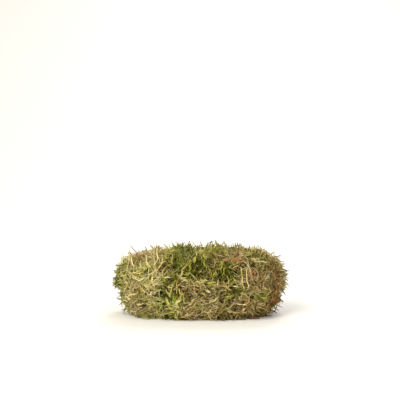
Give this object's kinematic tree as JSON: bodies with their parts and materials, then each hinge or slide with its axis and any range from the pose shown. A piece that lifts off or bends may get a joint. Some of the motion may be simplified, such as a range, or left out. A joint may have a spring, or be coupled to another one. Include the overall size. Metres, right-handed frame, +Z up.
{
  "type": "sphagnum moss clump",
  "caption": "Loose loaf-shaped clump of live sphagnum moss: leafy yellow-green, green and tan shoots, green blades and bare pale stems over a mat of old stems, lying on a flat underside.",
  "frame": {"origin": "bottom centre of the bounding box, on the surface that the clump rests on", "axes": "+X along the length, to the right seen from the front; +Z up; the front faces -Y"},
  "size_m": [0.1362, 0.0788, 0.0551],
  "materials": {
    "old_stems": "matte, fibrous, straw brown with dark gaps",
    "yellow_green_moss": "matte, moist, yellow-green to cream",
    "green_moss": "matte, moist, olive to bright green",
    "tan_moss": "matte, tan to orange-brown",
    "pale_stem": "satin, pale straw",
    "green_blade": "satin, fresh green"
  },
  "bodies": {
    "root": {"pale_stem_01": "pale_stem", "pale_stem_02": "pale_stem", "pale_stem_03": "pale_stem", "pale_stem_04": "pale_stem", "pale_stem_05": "pale_stem", "pale_stem_06": "pale_stem", "pale_stem_07": "pale_stem", "pale_stem_08": "pale_stem", "blade_tuft_01": "green_blade", "blade_tuft_02": "green_blade", "blade_tuft_03": "green_blade", "yellow_green_shoot_01": "yellow_green_moss", "tan_shoot_01": "tan_moss", "yellow_green_shoot_02": "yellow_green_moss", "green_shoot_01": "green_moss", "green_shoot_02": "green_moss", "tan_shoot_02": "tan_moss", "tan_shoot_03": "tan_moss", "green_shoot_03": "green_moss", "tan_shoot_04": "tan_moss", "yellow_green_shoot_03": "yellow_green_moss", "yellow_green_shoot_04": "yellow_green_moss", "tan_shoot_05": "tan_moss", "tan_shoot_06": "tan_moss", "yellow_green_shoot_05": "yellow_green_moss", "yellow_green_shoot_06": "yellow_green_moss", "yellow_green_shoot_07": "yellow_green_moss", "green_shoot_04": "green_moss", "green_shoot_05": "green_moss", "green_shoot_06": "green_moss", "tan_shoot_07": "tan_moss", "tan_shoot_08": "tan_moss", "tan_shoot_09": "tan_moss", "green_shoot_07": "green_moss", "yellow_green_shoot_08": "yellow_green_moss", "green_shoot_08": "green_moss", "yellow_green_shoot_09": "yellow_green_moss", "tan_shoot_10": "tan_moss", "yellow_green_shoot_10": "yellow_green_moss", "yellow_green_shoot_11": "yellow_green_moss", "yellow_green_shoot_12": "yellow_green_moss", "green_shoot_09": "green_moss", "yellow_green_shoot_13": "yellow_green_moss", "tan_shoot_11": "tan_moss", "yellow_green_shoot_14": "yellow_green_moss", "green_shoot_10": "green_moss", "tan_shoot_12": "tan_moss", "green_shoot_11": "green_moss", "tan_shoot_13": "tan_moss", "yellow_green_shoot_15": "yellow_green_moss", "old_stem_mat": "old_stems"}
  },
  "joints": []
}
